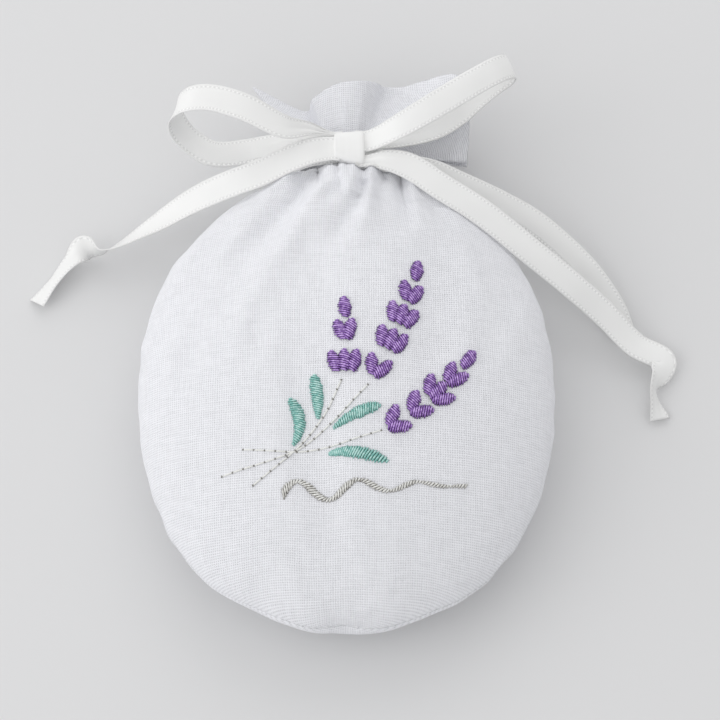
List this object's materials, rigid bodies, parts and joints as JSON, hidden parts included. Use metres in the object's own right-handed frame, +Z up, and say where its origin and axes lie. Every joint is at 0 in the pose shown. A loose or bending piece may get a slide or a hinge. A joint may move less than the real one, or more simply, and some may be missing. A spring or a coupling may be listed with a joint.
{
  "type": "lavender sachet",
  "caption": "Round-bottomed linen sachet of dried lavender with a gathered frill, a satin ribbon bow with loose tails, and stitched lavender sprigs on the front.",
  "frame": {"origin": "under the middle of the whole sachet, on the surface that it lies on", "axes": "+X to the right seen from above, +Y from the bottom seam to the frill, +Z up out of the embroidered front"},
  "size_m": [0.1422, 0.1324, 0.0304],
  "materials": {
    "linen": "fine plain-weave white linen",
    "muslin": "thin unbleached muslin",
    "dried_buds": "loose dried lavender buds",
    "sewing_thread": "white cotton thread",
    "satin_ribbon": "single-face white satin with stitched edges",
    "purple_thread": "glossy purple embroidery thread",
    "teal_thread": "glossy teal embroidery thread",
    "silver_thread": "silver-grey embroidery thread"
  },
  "bodies": {
    "bag": {"front_panel": "linen", "back_panel": "linen", "inner_pouch": "muslin", "lavender_fill": "dried_buds", "seam_thread": "sewing_thread", "neck_band": "satin_ribbon", "bow_knot": "satin_ribbon", "left_sprig_floret_1": "purple_thread", "left_sprig_floret_2": "purple_thread", "left_sprig_floret_3": "purple_thread", "middle_sprig_floret_1": "purple_thread", "middle_sprig_floret_2": "purple_thread", "middle_sprig_floret_3": "purple_thread", "middle_sprig_floret_4": "purple_thread", "middle_sprig_floret_5": "purple_thread", "right_sprig_floret_1": "purple_thread", "right_sprig_floret_2": "purple_thread", "right_sprig_floret_3": "purple_thread", "right_sprig_floret_4": "purple_thread", "right_sprig_floret_5": "purple_thread", "leaf_1": "teal_thread", "leaf_2": "teal_thread", "leaf_3": "teal_thread", "leaf_4": "teal_thread", "left_stem": "silver_thread", "middle_stem": "silver_thread", "right_stem": "silver_thread", "silver_scroll": "silver_thread"},
    "left_loop": {"left_loop": "satin_ribbon"},
    "right_loop": {"right_loop": "satin_ribbon"},
    "left_tail": {"left_tail": "satin_ribbon"},
    "right_tail": {"right_tail": "satin_ribbon", "right_tail_back": "satin_ribbon"}
  },
  "joints": [
    {"name": "left_loop_bend", "type": "hinge", "parent": "bag", "child": "left_loop", "pos_m": [-0.0035, 0.0469, 0.0219], "axis": [0, 1, 0], "range_deg": [-10, 25], "stiffness_Nm_per_rad": 0.002},
    {"name": "right_loop_bend", "type": "hinge", "parent": "bag", "child": "right_loop", "pos_m": [0.0045, 0.0454, 0.0219], "axis": [0, -1, 0], "range_deg": [-3, 25], "stiffness_Nm_per_rad": 0.002},
    {"name": "left_tail_lift", "type": "hinge", "parent": "bag", "child": "left_tail", "pos_m": [-0.0035, 0.0425, 0.0215], "axis": [0, 1, 0], "range_deg": [0, 60]},
    {"name": "right_tail_lift", "type": "hinge", "parent": "bag", "child": "right_tail", "pos_m": [0.0045, 0.0408, 0.0215], "axis": [0, -1, 0], "range_deg": [0, 60]}
  ]
}
